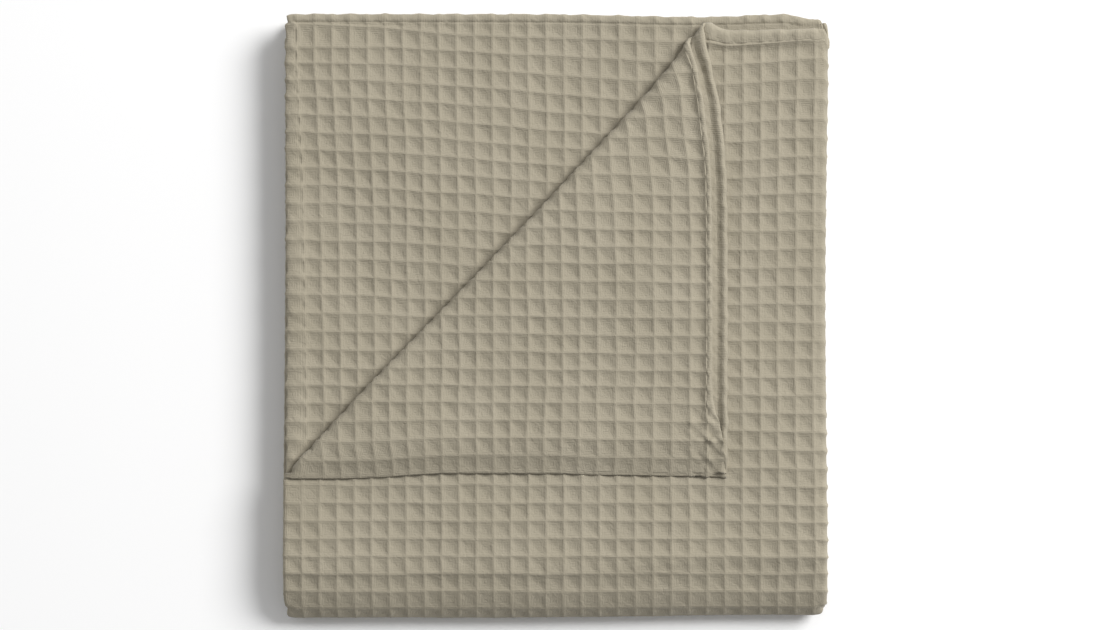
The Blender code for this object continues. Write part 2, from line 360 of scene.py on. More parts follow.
def linear(hex_colour):
    """A linear colour from an sRGB hex value."""
    parts = [int(hex_colour[i:i + 2], 16) / 255 for i in (1, 3, 5)]
    return [part / 12.92 if part <= 0.04045 else ((part + 0.055) / 1.055) ** 2.4 for part in parts] + [1.0]


# The folds


def folded_line(start, heading, rows):
    """Lay straight runs and half turns end to end. A row is (run, turn radius, turn sense)."""
    pieces = []
    a, b = start
    along = 0.0
    for run, radius, sense in rows:
        pieces.append({"from": along, "long": run, "at": (a, b), "heading": heading, "radius": 0, "sense": 0})
        a += heading * run
        along += run
        if radius:
            turn = {"from": along, "long": math.pi * radius, "at": (a, b), "heading": heading}
            pieces.append({**turn, "radius": radius, "sense": sense})
            b += 2 * radius * sense * heading
            along += math.pi * radius
            heading = -heading
    return pieces


def point_on(pieces, along, off):
    """Points at a length along a folded line, off to its left."""
    across, up = np.zeros_like(along), np.zeros_like(along)
    for piece in pieces:
        here = along >= piece["from"] if piece is not pieces[0] else np.ones_like(along, bool)
        past = along[here] - piece["from"]
        a, b = piece["at"]
        heading, radius, sense = piece["heading"], piece["radius"], piece["sense"]
        if radius:
            angle = past / radius
            across[here] = a + heading * (radius - sense * off[here]) * np.sin(angle)
            up[here] = b + heading * (sense * radius - (sense * radius - off[here]) * np.cos(angle))
        else:
            across[here] = a + heading * past
            up[here] = b + heading * off[here]
    return across, up


def width_fold():
    """Ply 3 from its free left hem, ply 2 back over it, ply 1 on top, and ply 4 under them all."""
    inner, outer = 0.5 * PLY, 1.5 * PLY
    run = (CUT_WIDTH - math.pi * (2 * inner + outer)) / 4
    rows = ((run + EDGE_OVER, inner, 1), (run, inner, -1), (run, outer, -1), (run - EDGE_OVER, 0, 0))
    return folded_line((-(run + EDGE_OVER) / 2, -inner), 1, rows)


def length_fold():
    """The top leaf from its back hem, round the front to the lowest leaf, and back in between."""
    inner, outer = 0.5 * LEAF, 1.5 * LEAF
    last_run = CUT_LENGTH - TOP_RUN - 2 * LOWER_RUN - math.pi * (2 * inner + outer)
    rows = ((TOP_RUN, outer, 1), (LOWER_RUN, inner, 1), (LOWER_RUN, inner, -1), (last_run, 0, 0))
    return folded_line((TOP_RUN / 2, 3.5 * LEAF), -1, rows)


ACROSS = width_fold()
ALONG = length_fold()
RIGHT_INNER_TURN, PLY_TWO, LEFT_TURN, PLY_ONE, RIGHT_TURN = ACROSS[1:6]
FRONT_TURN, BACK_TURN = ALONG[1], ALONG[3]
TURN_MIDDLE = LEFT_TURN["from"] + LEFT_TURN["long"] / 2
RIGHT_TURN_MIDDLE = RIGHT_TURN["from"] + RIGHT_TURN["long"] / 2
TIP_X = LEFT_TURN["at"][0] - LEFT_TURN["radius"]
TIP_Y = ALONG[0]["at"][0] - SLIP
TIP_TOP = 3.5 * LEAF + 1.5 * PLY
FLAP_LOW = TIP_Y - TURN_REACH + TURN_SLIDE
FLAP_RIGHT = TIP_X + TURN_REACH - TURN_SLIDE
UNDERSIDE = 0.5 * LEAF - 1.5 * PLY - CLOTH / 2


def slip(ply_height, along, from_tip):
    """How short of the others the two upper plies end, the second more so, fading out to the front."""
    upper = smooth(ply_height / PLY + 0.5)
    below_first = upper * smooth(1.5 - ply_height / PLY)
    most = SLIP * upper + SLIP_SECOND * below_first * smooth(from_tip / PLIES_PART)
    return most * np.maximum(0.0, 1 - along / TOP_RUN)


def pull(from_tip):
    """How far the corner's fold line is drawn back from a true slant, growing towards the hem."""
    near = np.exp(np.minimum(0.0, from_tip - TURN_PULL_END) / TURN_PULL_FADE)
    return TURN_PULL * near + TURN_LEAN * from_tip / TURN_REACH


def past_line(from_tip, from_back):
    """How far a point lies beyond the corner's fold line, and how far from the tip the line is there."""
    past = 0.0
    for _ in range(LINE_TRIES):
        beside = from_tip + past / math.sqrt(2)
        past = (TURN_REACH - pull(beside) - from_tip - from_back) / math.sqrt(2)
    return past, beside


def turn_corner(x, y, z, ply_height):
    """Carry points of the two upper plies over the corner's fold line, where they lie beyond it."""
    from_tip = x - TIP_X
    past, beside = past_line(from_tip, TIP_Y - y)
    axis = TIP_TOP + TURN_RADIUS
    radius = axis - z
    own = TURN_RADIUS + (1.5 * PLY - ply_height) * smooth(from_tip / PLIES_PART)
    angle = past / own
    moved = past - radius * np.sin(angle)
    flat = past - math.pi * own
    flat_moved = (past + flat) / math.sqrt(2)
    slid = TURN_SLIDE * flat / TURN_REACH
    drawn = (pull(beside) - pull(from_tip)) * smooth(flat / DRAWN_WITHIN)
    bending = (past > 0) & (flat < 0)
    over = flat >= 0
    new_x = np.where(bending, x + moved / math.sqrt(2), np.where(over, x + flat_moved - slid + drawn, x))
    new_y = np.where(bending, y - moved / math.sqrt(2), np.where(over, y - flat_moved - slid - drawn, y))
    new_z = np.where(bending, axis - radius * np.cos(angle), np.where(over, axis + radius, z))
    return new_x, new_y, new_z


def settle(x, y, z):
    """Draw the sides in, dip the back edge and let the top swell a little, with the floor flat."""
    half_width, half_length, height = PLY_ONE["long"] / 2, TOP_RUN / 2, 4 * LEAF
    waist = np.cos(np.minimum(1.0, np.abs(y) / half_length) * math.pi / 2) ** 2
    right, left = np.maximum(0.0, x / half_width), np.maximum(0.0, -x / half_width)
    dip = np.exp(-(((x - BACK_DIP_AT) / BACK_DIP_WIDTH) ** 2)) * smooth(y / half_length)
    across = np.sin(x * math.tau / SWELL_ACROSS + SWELL_STARTS[0])
    swell = across * np.cos(y * math.tau / SWELL_ALONG + SWELL_STARTS[1])
    x = x + waist * (WAIST_LEFT * left - WAIST_RIGHT * right)
    return x, y - BACK_DIP * dip, z + SWELL * swell * (z - UNDERSIDE) / height


def on_upper_plies(u, v):
    """Whether points are on the two plies of the top leaf whose corner is turned."""
    return (v < TOP_RUN) & (u > PLY_TWO["from"]) & (u < PLY_ONE["from"] + PLY_ONE["long"])


def lay(u, v, h):
    """Where points of the flat cloth lie: u across it, v along it and h above its middle."""
    x, height = point_on(ACROSS, u, h)
    ply_height = point_on(ACROSS, u, np.zeros_like(u))[1]
    y, z = point_on(ALONG, v, -height)
    # The lower leaves don't lie quite under the top one
    x = x + WANDER * np.sin(np.maximum(0.0, v - TOP_RUN) * math.tau / WANDER_LENGTH)
    y = y - slip(ply_height, v, x - TIP_X)
    turned = turn_corner(x, y, z, ply_height)
    upper = on_upper_plies(u, v)
    x, y, z = (np.where(upper, new, old) for new, old in zip(turned, (x, y, z)))
    return settle(x, y, z)


def beyond_corner(u, v):
    """How far points lie beyond the corner's fold line, seen from above."""
    x, height = point_on(ACROSS, u, np.zeros_like(u))
    y = point_on(ALONG, v, np.zeros_like(v))[0] - slip(height, v, x - TIP_X)
    return past_line(x - TIP_X, TIP_Y - y)[0]


def cloth_offset():
    """The move that stands the laid cloth on the origin, as the solid stands."""
    ways = np.linspace(0, CUT_WIDTH, MEASURED_ACROSS), np.linspace(0, CUT_LENGTH, MEASURED_ALONG)
    grid_u, grid_v = (part.ravel() for part in np.meshgrid(*ways))
    laid = np.hstack([lay(grid_u, grid_v, np.full_like(grid_u, h)) for h in (-CLOTH / 2, CLOTH / 2)])
    low, high = laid.min(axis=1), laid.max(axis=1)
    middle = [(CAD_LOW[i] + CAD_HIGH[i]) / 2 - (low[i] + high[i]) / 2 for i in range(2)]
    return np.array([middle[0], middle[1], CAD_LOW[2] - low[2]])


# The slid weave


def table_at(table, x, v):
    """Values between those of a small table of slides."""
    places = np.array([row[0] for row in table[1:]]) * MM
    rows = np.array([np.interp(x, np.array(table[0]) * MM, row[1:]) for row in table[1:]]) * MM
    share = np.interp(v, places, np.arange(len(places)))
    below = np.minimum(share.astype(int), len(places) - 2)
    share = share - below
    points = np.arange(len(x))
    return rows[below, points] * (1 - share) + rows[below + 1, points] * share


def slide(u, v):
    """Where the weave lies on its own sheet: points of the even cloth, slid across and along it."""
    x = point_on(ACROSS, u, np.zeros_like(u))[0] - TIP_X
    past_left_fold = ramp(u - TURN_MIDDLE + LEFT_FOLD_MOVES * ramp(v, *LEFT_FOLD_OVER), 0, LEFT_FOLD_BLEND)
    one = past_left_fold * (1 - ramp(u, *PLY_ONE_ENDS))
    two = ramp(u, *PLY_TWO_STARTS) * (1 - past_left_fold)
    three = 1 - ramp(u, *PLY_THREE_ENDS)
    slid_v = one * table_at(SLIDE_PLY_ONE, x, v) + two * table_at(SLIDE_PLY_TWO, x, v)
    slid_v += three * table_at(SLIDE_PLY_THREE, x, v)
    lean = three * curve(LEAN_PLY_THREE, v) * (1 - LEAN_EASES * ramp(x, *LEAN_OVER))
    slid_u = lean * np.minimum(1.0, u / HEM_END)
    inner = ramp(to_hem_edge(u, v) - HEM_END, 0, 16)
    slid_v += inner * waves(u, v, WEAVE_STRAY_ALONG)
    slid_u += inner * waves(u, v, WEAVE_STRAY_ACROSS)
    return u + slid_u, v + slid_v


def to_hem_edge(u, v):
    """How far points are from the cloth's nearest edge."""
    return np.minimum(np.minimum(u, CUT_WIDTH - u), np.minimum(v, CUT_LENGTH - v))


def near_flap_tip(u):
    """How near points of ply 2 are to the turned corner's own tip."""
    return ramp(u - TURN_MIDDLE, *TIP_ZONE) * (u < TURN_MIDDLE)


def count_past_hem(u, v, cells_v):
    """Cell numbers along the cloth, recounted in the strip between a slid first row and its hem."""
    first_row = RIDGES_ALONG[0][1] * MM
    hem_start = np.where(near_flap_tip(u) > 0, -1.0, HEM_END - 1 * MM)
    strip = (v > hem_start) & (v < first_row)
    first = slide(u, np.full_like(v, first_row))[1]
    return np.where(strip, (slide(u, v)[1] - first) / (CELL * MM), cells_v)


# Where the cloth shows


def round_turn(place, turn):
    """How far round a half turn points are, from 0 at its ends to 1 at its middle."""
    return np.sin(np.clip((place - turn["from"]) / turn["long"], 0, 1) * math.pi)


def end_turns(u, v):
    """How fully points lie on the outside of the front fold and the back fold."""
    outer = (u > TURN_MIDDLE) & (u < RIGHT_TURN_MIDDLE)
    front = (v > TOP_RUN) * ramp(FRONT_TURN["from"] + FRONT_TURN["long"] - v, 0, FRONT_TURN_FADE)
    return outer * np.maximum(front, round_turn(v, BACK_TURN))


def face_shows(u, v):
    """How fully the face shows and stands free, from 0 where another ply presses on it to 1."""
    past = beyond_corner(u, v)
    on_three = u < RIGHT_INNER_TURN["from"]
    ply_three = on_three * ramp(past, 0, SHOWS_OVER)
    ply_two = (u > PLY_TWO["from"]) * (u <= TURN_MIDDLE) * ramp(past, -PLY_TWO_LEAD, SHOWS_OVER)
    ply_one = (u > TURN_MIDDLE) * (u < RIGHT_TURN_MIDDLE) * (1 - ramp(past, 0, SHOWS_OVER))
    back_strip = on_three * (1 - ramp(v, *BACK_STRIP))
    top = (v < TOP_RUN) * np.max([ply_three, back_strip, ply_two, ply_one], axis=0)
    return np.max([top, round_turn(u, LEFT_TURN), round_turn(u, RIGHT_TURN), end_turns(u, v)], axis=0)


def needs_detail(u, v, face):
    """Whether blocks of the lattice, given by points in them, are fine: where they show or bend sharply."""
    u, v = slide(u, v)
    past = beyond_corner(u, v)
    upper = on_upper_plies(u, v)
    bend_to = np.where(u > TURN_MIDDLE, BEND_TO_PLY_ONE, BEND_TO_PLY_TWO)
    bends = upper & (past > BEND_FROM) & (past < bend_to)
    if not face:
        rolled_hem = upper & (u > TURN_MIDDLE) & (v < 2 * DETAIL_MARGIN) & (past > 0)
        return bends | rolled_hem
    x, y, _ = lay(u, v, np.zeros_like(u))
    under_flap = (y > FLAP_LOW + DETAIL_MARGIN) & (x < FLAP_RIGHT - DETAIL_MARGIN)
    top_leaf = v < TOP_RUN
    ply_one = top_leaf & (u > TURN_MIDDLE) & (u < RIGHT_TURN["from"])
    shown = (face_shows(u, v) > LEAST_SHOWN) & ~(ply_one & under_flap)
    edges = (v < HEM_END) | ((u < HEM_END) & top_leaf)
    return shown | bends | edges


# Relief


def cell_habit(cells_u, cells_v):
    """How each cell differs from the next: where its pit's bottom lies, how deep it is and how hollow."""
    chance = np.random.RandomState(CELL_SEED)
    size = (CELL_TABLE, CELL_TABLE)
    middle_u, middle_v = (0.5 + chance.uniform(-PIT_STRAYS, PIT_STRAYS, size) for _ in range(2))
    depth = 1 + chance.uniform(-DEPTH_VARIES, DEPTH_VARIES, size)
    hollow = 1 + chance.uniform(HOLLOW_LESS, HOLLOW_MORE, size)
    i = np.floor(cells_u).astype(int) % CELL_TABLE
    j = np.floor(cells_v).astype(int) % CELL_TABLE
    return middle_u[i, j], middle_v[i, j], depth[i, j], hollow[i, j]


def wall_share(cells, middle):
    """How near points are to their cell's walls one way: 0 over the pit's bottom and 1 on a ridge."""
    share = cells - np.floor(cells)
    return np.where(share < middle, 1 - share / middle, (share - middle) / (1 - middle))


def cell_height(cells_u, cells_v, on_ply_one, sizes):
    """The waffle's height over the sheet's middle: square pits with a narrow crest between them."""
    middle_u, middle_v, depth, hollow = cell_habit(cells_u, cells_v)
    # The first pits inside the back hem of ply 1 have one long wall, which slopes down from the hem
    middle_v = np.where(on_ply_one & (cells_v >= 0) & (cells_v < 1), LONG_WALL_AT, middle_v)
    in_u, in_v = wall_share(cells_u, middle_u), wall_share(cells_v, middle_v)
    up = np.maximum(in_u, in_v)
    crest = (1 - CREST) * up ** hollow + CREST * smooth((up - CREST_FROM) / (1 - CREST_FROM))
    knot = KNOT * smooth((np.minimum(in_u, in_v) - KNOT_FROM) / (1 - KNOT_FROM))
    low = sizes.ridge_height - (sizes.ridge_height - sizes.pit_height) * depth
    return low + (sizes.ridge_height - low) * (crest + knot)


def hem_ridge(u, v, cells_u, cells_v):
    """How near points of a hem are to the ridges that run over it, below 0 between them, and which hem."""
    sideways = np.minimum(u, CUT_WIDTH - u) < np.minimum(v, CUT_LENGTH - v)
    over = np.where(sideways, wall_share(cells_v, 0.5), wall_share(cells_u, 0.5))
    return smooth((over - HEM_RIDGE_FROM) / (1 - HEM_RIDGE_FROM)) - HEM_RIDGE_SHIFT, sideways


def hem_height(u, v, cells_u, cells_v):
    """The hem's height on the face: a puffy band with a faint line of stitches and the ridges over it."""
    ridge, sideways = hem_ridge(u, v, cells_u, cells_v)
    distance = to_hem_edge(u, v)
    ridge_height = np.where(sideways, SIDE_HEM_RIDGE, END_HEM_RIDGE) * ridge + waves(u, v, HEM_PUCKERS)
    groove = STITCH_GROOVE * (u < PLY_TWO["from"]) * ~sideways * bell(distance, *STITCH_LINE)
    return curve(HEM_PROFILE, distance) + ridge_height * ramp(distance, 0, HEM_ROUNDING) - groove


def scallop(lattice, slid, cells_u, cells_v):
    """Push the hems' edges out where ridges run over them, and let them be a little ragged."""
    u, v = lattice
    ridge, sideways = hem_ridge(u, v, cells_u, cells_v)
    out = SCALLOP * ridge * np.where(sideways, 1.0, END_SCALLOP) + waves(u, v, HEM_RAGGED)
    moved = []
    for place, flat, end in zip(slid, lattice, (CUT_WIDTH, CUT_LENGTH)):
        near = 1 - smooth(np.minimum(flat, end - flat) / HEM_END)
        moved.append(place - out * near * np.sign(end / 2 - flat))
    return moved


def proud_hems(from_hem, v, one, two):
    """How the back hems of plies 1 and 2 stand higher than the plain pattern, and dip in front of it."""
    fall = np.where(one > 0, PROUD_FALL_ONE, PROUD_FALL_TWO)
    proud = PROUD * ramp(from_hem, 0, PROUD_RISE) * (1 - ramp(from_hem, PROUD_END, fall))
    proud = proud * (1 - PROUD_SLOPE * np.clip((from_hem - PROUD_SLOPE_FROM) / PROUD_SLOPE_LENGTH, 0, 1))
    crease_at = np.where(two > 0, CREASE_AT_TWO, CREASE_AT_ONE)
    crease = CREASE * bell(v, crease_at, CREASE_WIDTH) * ramp(from_hem, *CREASE_RISE)
    return (PROUD_PLY_ONE * one + two) * proud - (one + CREASE_PLY_TWO * two) * crease


def unevenness(lattice, slid):
    """Where the relief of the upper plies differs from the plain pattern, besides its own unevenness."""
    u, v = slid
    one = ramp(u - TURN_MIDDLE, 0, PLY_ONE_COMES_IN) * ramp(RIGHT_TURN["from"] - u, 0, PLY_ONE_GOES_OUT)
    two = (u < TURN_MIDDLE) * (u > PLY_TWO["from"]) * (1 - near_flap_tip(u))
    change = proud_hems(lattice[1], v, one, two)
    under_one = (u < RIGHT_INNER_TURN["from"]) * ramp(u, *ROLL_DOWN_ACROSS)
    change -= ROLL_DOWN * under_one * ramp(v, *ROLL_DOWN_FALL) * (1 - ramp(v, *ROLL_DOWN_END))
    tip = near_flap_tip(u) * (1 - ramp(v, *TIP_CRUMPLED))
    return change + tip * waves(u, v, TIP_CRUMPLES)


def draw_tight(relief, slid):
    """Flatten the relief on the right side towards the back."""
    u, v = slid
    tight = ramp(u - RIGHT_TURN["from"], *TIGHT_SIDE) * ramp(TIGHT_TO - v, 0, TIGHT_FADE)
    tight = tight * (u < RIGHT_TURN["from"] + 2 * RIGHT_TURN["long"])
    return relief * (1 - TIGHT_CALM * tight) + TIGHT_HEIGHT * tight


def press_flatter(relief, slid):
    """Calm the relief where the turned corner bends."""
    u, v = slid
    upper = on_upper_plies(u, v)
    past = beyond_corner(u, v)
    bend = upper * ramp(past, *BEND_IN) * (1 - ramp(past, *BEND_OUT))
    relief = blend(relief, BEND_HEIGHT, BEND_CALM * bend)
    low_fold = bell(u - TURN_MIDDLE, *LOW_FOLD) * upper * (past > 0)
    return blend(relief, LOW_FOLD_HEIGHT, LOW_FOLD_CALM * low_fold)


def pressed_height(distance):
    """The height of cloth that another ply presses flat, at a distance from its edge."""
    return np.where(distance < HEM_END, np.minimum(curve(HEM_PROFILE, distance), HEM_PRESSED), CLOTH / 2)


def face_height(lattice, slid, cells_u, cells_v, sizes):
    """The height of the cloth's face over the sheet's middle."""
    u, v = slid
    on_ply_one = (u > TURN_MIDDLE) & (u < RIGHT_TURN["from"])
    relief = cell_height(cells_u, cells_v, on_ply_one, sizes)
    patch = bell(u - TURN_MIDDLE, *PATCH_ACROSS) * bell(v, *PATCH_ALONG)
    relief = blend(relief, PATCH_HEIGHT, PATCH_CALM * patch) + waves(u, v, FACE_WAVES)
    distance = to_hem_edge(*lattice)
    in_hem = 1 - ramp(distance, *HEM_TO_CELLS)
    in_hem = in_hem * (1 - TIP_HEM_LOST * near_flap_tip(u) * (lattice[1] < HEM_END))
    relief = blend(relief, hem_height(*lattice, cells_u, cells_v), in_hem)
    relief = press_flatter(relief, slid)
    relief = draw_tight(np.maximum(relief + unevenness(lattice, slid), LOWEST_FACE), slid)
    return blend(pressed_height(distance), relief, face_shows(u, v))


def reverse_height(u, v):
    """The height of the cloth's reverse, where the hem is turned under."""
    rolled = curve(ROLLED_HEM, v) + waves(u, v, ROLLED_PUCKERS)
    shown = (u > TURN_MIDDLE) * ramp(beyond_corner(u, v), 0, ROLLED_PAST_LINE) * (1 - ramp(v, *ROLLED_FADE))
    return -blend(pressed_height(to_hem_edge(u, v)), rolled, shown)


# The stack's soft shape


def loft_corner(u, v, x, y, z):
    """Lift the turned corner between its edges, curve them, curl its back end and round its lower edge."""
    past = beyond_corner(u, v)
    upper = on_upper_plies(u, v)
    flap = upper & (past > 0)
    on_two = u < TURN_MIDDLE
    lift = FLAP_LIFT * ramp(np.abs(u - TURN_MIDDLE), 0, LIFT_FROM_FOLD) * ramp(past, 0, LIFT_FROM_LINE)
    z = z + flap * lift * np.where(on_two, 1.0, ramp(v, 0, LIFT_FROM_HEM))
    out = curve(FLAP_OUT, TIP_Y - y) * ramp(x - FLAP_RIGHT, *FLAP_OUT_OVER) * ramp(past, 0, OUT_FROM_LINE)
    drop = curve(FLAP_DROP, x - TIP_X) * (1 - ramp(y - FLAP_LOW, 0, FLAP_DROP_OVER))
    curl = bell(x, *CURL_ACROSS) * bell(y, *CURL_ALONG) * upper
    well = bell(x, *WELL_ACROSS) * bell(y, *WELL_ALONG) * flap
    z = z + CURL_OUT[2] * curl - WELL * well * np.where(on_two, 1.0, ramp(v, *WELL_PAST_HEM))
    rounding = np.maximum(0.0, 1 - (y - FLAP_LOW) / FLAP_ROUND_REACH) ** FLAP_ROUND_POWER
    z = z - FLAP_ROUND * rounding * flap * (1 - FLAP_ROUND_UNDER * ramp(u - TURN_MIDDLE, *FLAP_ROUND_TURNS))
    low_edge = (1 - ramp(y - FLAP_LOW, *FLAP_PRESS_OVER)) * flap
    z = z - (z - TIP_TOP - CLOTH / 2) * FLAP_PRESS * low_edge
    return x + flap * out + CURL_OUT[0] * curl, y - flap * drop + CURL_OUT[1] * curl, z


def loft(u, v, x, y, z):
    """Loft the turned corner, and let the stack lie unevenly, with a soft front."""
    new_x, new_y, z = loft_corner(u, v, x, y, z)
    share = (z - UNDERSIDE) / (4 * LEAF)
    front = ramp(-y - TOP_RUN / 2, *BULGE_START)
    bulge = blend(BULGE, BULGE_RIGHT, ramp(x, *BULGE_CHANGES))
    new_y = new_y - bulge * front * np.sin(np.clip(share, 0, 1) * math.pi)
    from_front = TOP_RUN / 2 + FRONT_PAST_RUN + y
    reach = FRONT_REACH + FRONT_EARLIER_RIGHT * ramp(x, 0, FRONT_EARLIER_OVER)
    sunk = FRONT_SINK * np.clip((reach - from_front) / FRONT_REACH, 0, FRONT_SINK_MOST)
    sunk = sunk * smooth(sunk / FRONT_SOFT_START + FRONT_SOFT_SHARE)
    return new_x, new_y, z + share * (waves(x, y, STACK_WAVES) - sunk)


def round_corners(places):
    """Draw the stack's upright corners in a little."""
    low, high = np.array(CAD_LOW[:2]), np.array(CAD_HIGH[:2])
    middle, half = (low + high) / 2, (high - low) / 2
    away = places[:, :2] - middle
    share = np.maximum(0.0, (np.abs(away) - (half - CORNER_ROUND)) / CORNER_ROUND)
    corner = (share > 0).all(axis=1)
    spread = (share ** CORNER_POWER).sum(axis=1) ** (1 / CORNER_POWER)
    factor = np.where(corner, share.max(axis=1) / np.maximum(spread, TINY), 1.0)[:, None]
    moved = (half - CORNER_ROUND + share * factor * CORNER_ROUND) * np.sign(away)
    places[:, :2] = np.where(corner[:, None], middle + moved, places[:, :2])
    return places


# The lattice of the flat cloth


def turn_lines(pieces):
    """The lines that a fold needs so that it bends smoothly."""
    found = []
    for piece in pieces:
        if piece["radius"]:
            steps = LEAF_TURN_STEPS if piece["radius"] > 2 * PLY else OUTER_TURN_STEPS
            if piece["radius"] < PLY:
                steps = INNER_TURN_STEPS
            found += [piece["from"] + piece["long"] * i / steps for i in range(steps + 1)]
    return found


def wished_lines(cells, places, pieces, end):
    """The lines that the lattice would like: (kind, place, whether hidden cloth keeps it)."""
    rows = [(EDGE_LINE, place, True) for place in (0, HEM_END, end - HEM_END, end)]
    rows += [(TURN_LINE, place, True) for place in turn_lines(pieces)]
    for cell in range(cells[0], cells[-1] + 1):
        lower = pieces is ALONG and cell > LAST_TOP_CELL
        coarse = cell % (2 * COARSE_EVERY if lower else COARSE_EVERY) == 0
        for share in LOWER_SHARES if lower else CELL_SHARES:
            kind = PIT_LINE if share else RIDGE_LINE
            rows.append((kind, np.interp(cell + share, cells, places), share == 0 and coarse))
    hems = [distance * MM for distance in HEM_LINES + PAST_HEM_LINES * (pieces is ALONG)]
    return rows + [(HEM_LINE, place, False) for distance in hems for place in (distance, end - distance)]


def lattice_lines(ridges, pieces):
    """The lattice's lines one way: their places and cell numbers, and which ones hidden cloth keeps."""
    end = pieces[-1]["from"] + pieces[-1]["long"]
    cells, places = [cell for cell, _ in ridges], [place * MM for _, place in ridges]
    kept = []
    for kind, place, coarse in sorted(wished_lines(cells, places, pieces, end)):
        in_hem = min(place, end - place) < HEM_END - LEAST_ROOM[EDGE_LINE] * MM
        if 0 <= place <= end and not (kind in (RIDGE_LINE, PIT_LINE) and in_hem):
            if all(abs(place - other) > LEAST_ROOM[kind] * MM for other, _ in kept):
                kept.append((place, coarse))
    kept.sort()
    line = np.array([place for place, _ in kept])
    carried_on = [[2 * row[0] - row[1], *row, 2 * row[-1] - row[-2]] for row in (places, cells)]
    return line, np.interp(line, *carried_on), [i for i, (_, coarse) in enumerate(kept) if coarse]


class Lattice:
    """The lines of the flat cloth both ways, and the blocks between its coarse lines."""

    def __init__(self):
        self.line_u, self.cells_u, self.coarse_u = lattice_lines(RIDGES_ACROSS, ACROSS)
        self.line_v, self.cells_v, self.coarse_v = lattice_lines(RIDGES_ALONG, ALONG)
        self.shape = (len(self.line_u), len(self.line_v))

    def block(self, i, j):
        """The first and last lines of a block, across and along."""
        return self.coarse_u[i], self.coarse_u[i + 1], self.coarse_v[j], self.coarse_v[j + 1]

    def fine_blocks(self, face):
        """For each block, whether it is fine."""
        places = []
        for line, coarse in ((self.line_u, self.coarse_u), (self.line_v, self.coarse_v)):
            low, high = line[coarse[:-1]][:, None], line[coarse[1:]][:, None]
            places.append((low + (high - low) * BLOCK_SHARES).ravel())
        grid = [part.ravel() for part in np.meshgrid(*places, indexing="ij")]
        points = len(BLOCK_SHARES)
        return needs_detail(*grid, face).reshape(len(self.coarse_u) - 1, points, -1, points).any(axis=(1, 3))

    def used_points(self, fine):
        """Which lattice points the blocks of one side use."""
        used = np.zeros(self.shape, bool)
        used[np.ix_(self.coarse_u, self.coarse_v)] = True
        for i, j in zip(*np.nonzero(fine)):
            left, right, low, high = self.block(i, j)
            used[left:right + 1, low:high + 1] = True
        return used


# The mesh of the cloth


def block_border(left, right, low, high):
    """The lattice points round a block, in order."""
    around = [(i, low) for i in range(left, right)] + [(right, j) for j in range(low, high)]
    around += [(i, high) for i in range(right, left, -1)] + [(left, j) for j in range(high, low, -1)]
    return around


def split_square(corner):
    """Two triangles from a square's corners."""
    return [corner[:3], [corner[0], *corner[2:]]]


def fine_triangles(number, block, halves):
    """The triangles of a fine block, each square split so that a pit's corners stay sharp."""
    left, right, low, high = block
    triangles = []
    for a in range(left, right):
        for b in range(low, high):
            corner = [number[a, b], number[a + 1, b], number[a + 1, b + 1], number[a, b + 1]]
            if halves[0][a] != halves[1][b]:
                corner = corner[1:] + corner[:1]
            triangles += split_square(corner)
    return triangles


def side_faces(lattice, fine, used, number, middles):
    """The triangles of one side. Blocks that aren't fine are fans round a middle point added to middles."""
    triangles = []
    next_number = used.sum() + number[used].min()
    both_ways = lattice.cells_u, lattice.cells_v
    halves = [np.floor(cells[:-1] + cells[1:]).astype(int) % 2 for cells in both_ways]
    for i, j in np.ndindex(fine.shape):
        block = lattice.block(i, j)
        if fine[i, j]:
            triangles += fine_triangles(number, block, halves)
            continue
        ring = [number[point] for point in block_border(*block) if used[point]]
        if len(ring) == 4:
            triangles += split_square(ring)
            continue
        middle = next_number + len(middles)
        middles.append(block)
        triangles += [(ring[k - 1], ring[k], middle) for k in range(len(ring))]
    return np.array(triangles)


def rim_faces(used, face_number, reverse_number):
    """The triangles that close the cloth's edge."""
    last_u, last_v = used.shape[0] - 1, used.shape[1] - 1
    ring = [point for point in block_border(0, last_u, 0, last_v) if used[point]]
    triangles = []
    for here, after in zip(ring, ring[1:] + ring[:1]):
        a, b = face_number[here], face_number[after]
        c, d = reverse_number[after], reverse_number[here]
        triangles += [(b, a, d), (b, d, c)]
    return np.array(triangles)


def side_points(lattice, used, middles, face):
    """The flat points of one side, with their cell numbers, and whether they are on the face."""
    i, j = np.nonzero(used)
    rows = []
    for values, index, low, high in ((lattice.line_u, i, 0, 1), (lattice.line_v, j, 2, 3),
                                     (lattice.cells_u, i, 0, 1), (lattice.cells_v, j, 2, 3)):
        rows.append(np.append(values[index], [(values[m[low]] + values[m[high]]) / 2 for m in middles]))
    return np.array(rows + [np.full(len(rows[0]), float(face))])


def cloth_arrays():
    """The flat cloth's points, with their cell numbers, and its triangles."""
    lattice = Lattice()
    fine = [lattice.fine_blocks(face) for face in (True, False)]
    used = [lattice.used_points(side) for side in fine]
    rim = used[0] | used[1]
    rim[1:-1, 1:-1] = False
    used = [side | rim for side in used]
    start = 0
    points, triangles, numbers = [], [], []
    for side, face in enumerate((True, False)):
        number = np.full(lattice.shape, -1)
        number[used[side]] = np.arange(start, start + used[side].sum())
        middles = []
        made = side_faces(lattice, fine[side], used[side], number, middles)
        points.append(side_points(lattice, used[side], middles, face))
        triangles.append(made if face else made[:, ::-1])
        numbers.append(number)
        start += points[-1].shape[1]
    triangles.append(rim_faces(used[0], *numbers))
    return np.concatenate(points, axis=1), np.concatenate(triangles)


def add_object(name, data):
    """A new object in the scene."""
    thing = bpy.data.objects.new(name, data)
    bpy.context.scene.collection.objects.link(thing)
    return thing


